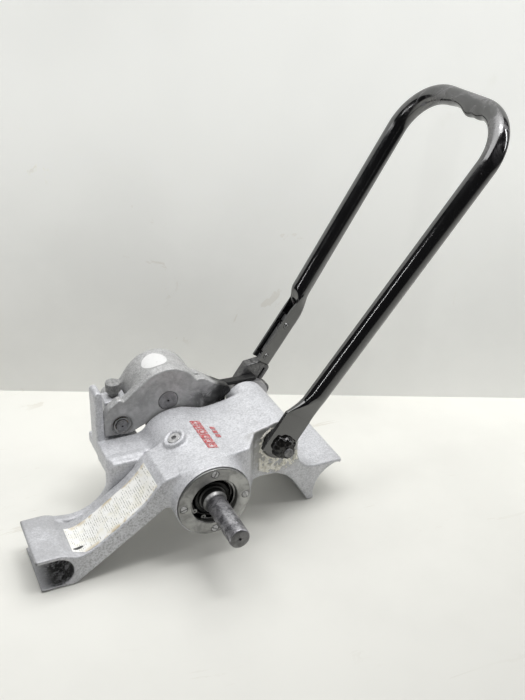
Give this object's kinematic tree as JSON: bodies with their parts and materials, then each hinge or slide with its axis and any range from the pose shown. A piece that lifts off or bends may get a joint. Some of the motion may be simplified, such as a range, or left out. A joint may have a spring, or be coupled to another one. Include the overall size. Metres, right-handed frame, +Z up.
{
  "type": "pipe roll groover",
  "caption": "Pipe roll groover attachment: cast housing that hangs on two rails, chucked drive shaft, hand-fed roll arm and long loop handle.",
  "frame": {"origin": "on the surface the tool stands on, below the middle of its bounding box", "axes": "+Z up; +Y along the drive shaft from its free end towards the rolls; +X across the rails, from the hook towards the saddle foot and the raised handle"},
  "size_m": [0.6082, 0.2974, 0.5154],
  "materials": {
    "cast_aluminium": "sand-cast, bead-blasted silver grey with machined faces",
    "arm_casting": "grey painted casting with a ground front face",
    "machined_steel": "turned steel, dulled by oil",
    "bearing_cage": "dark cage under grease",
    "black_oxide_steel": "mottled black oxide",
    "bronze": "oiled bearing bronze",
    "black_enamel": "gloss black enamel, worn at the grip"
  },
  "bodies": {
    "housing_body": {"housing": "cast_aluminium", "bearing_retainer": "machined_steel", "retainer_screw_1": "machined_steel", "retainer_screw_2": "machined_steel", "retainer_screw_3": "machined_steel", "retainer_screw_4": "machined_steel", "front_bearing_outer_ring": "machined_steel", "rear_bearing_outer_ring": "machined_steel", "front_bearing_cage": "bearing_cage", "rear_bearing_cage": "bearing_cage", "rear_circlip": "black_oxide_steel", "grease_plug": "machined_steel", "pivot_pin": "black_oxide_steel", "pivot_clip_front": "black_oxide_steel", "pivot_clip_rear": "black_oxide_steel", "feed_bushing_near": "bronze", "feed_bushing_far": "bronze"},
    "drive_body": {"drive_shaft": "black_oxide_steel", "front_bearing_inner_ring": "machined_steel", "rear_bearing_inner_ring": "machined_steel", "drive_roll": "black_oxide_steel", "drive_key": "machined_steel", "drive_washer": "machined_steel", "drive_nut": "machined_steel"},
    "arm_body": {"roll_arm": "arm_casting", "roll_shaft": "black_oxide_steel", "roll_shaft_clip": "black_oxide_steel", "arm_bushing_front": "bronze", "arm_bushing_rear": "bronze"},
    "groove_roll_body": {"groove_roll": "black_oxide_steel", "roll_bushing": "bronze"},
    "feed_body": {"feed_shaft": "black_oxide_steel", "feed_cam": "black_oxide_steel", "handle_bracket": "black_enamel", "handle_loop": "black_enamel", "handle_rivet_1": "black_oxide_steel", "handle_rivet_2": "black_oxide_steel", "near_nut": "black_oxide_steel", "hub_spacer": "black_enamel", "far_nut": "black_oxide_steel", "far_washer": "black_oxide_steel", "stop_pin": "black_oxide_steel"},
    "depth_screw_body": {"depth_screw": "machined_steel"},
    "depth_knob_body": {"depth_knob": "machined_steel"}
  },
  "joints": [
    {"name": "drive_spin", "type": "hinge", "parent": "housing_body", "child": "drive_body", "pos_m": [-0.09114, -0.01488, 0.085], "axis": [0, 1, 0], "continuous": true},
    {"name": "handle_swing", "type": "hinge", "parent": "housing_body", "child": "feed_body", "pos_m": [0.01886, 0.03512, 0.109], "axis": [0, 1, 0], "range_deg": [-30, 65]},
    {"name": "arm_pivot", "type": "hinge", "parent": "housing_body", "child": "arm_body", "pos_m": [-0.15764, 0.10312, 0.1205], "axis": [0, 1, 0], "range_deg": [-2, 4.2]},
    {"name": "groove_roll_spin", "type": "hinge", "parent": "arm_body", "child": "groove_roll_body", "pos_m": [-0.09514, 0.10312, 0.143], "axis": [0, 1, 0], "continuous": true},
    {"name": "depth_travel", "type": "slide", "parent": "housing_body", "child": "depth_screw_body", "axis": [0, 0, 1], "range_m": [-0.0015, 0.0015]},
    {"name": "depth_turn", "type": "hinge", "parent": "depth_screw_body", "child": "depth_knob_body", "pos_m": [-0.15814, 0.10512, 0.145], "axis": [0, 0, 1], "range_deg": [-366, 366]}
  ],
  "couplings": [
    {"joint": "arm_pivot", "follows": "handle_swing", "ratio": 0.06366},
    {"joint": "depth_turn", "follows": "depth_travel", "rad_per_m": 4188.8}
  ]
}
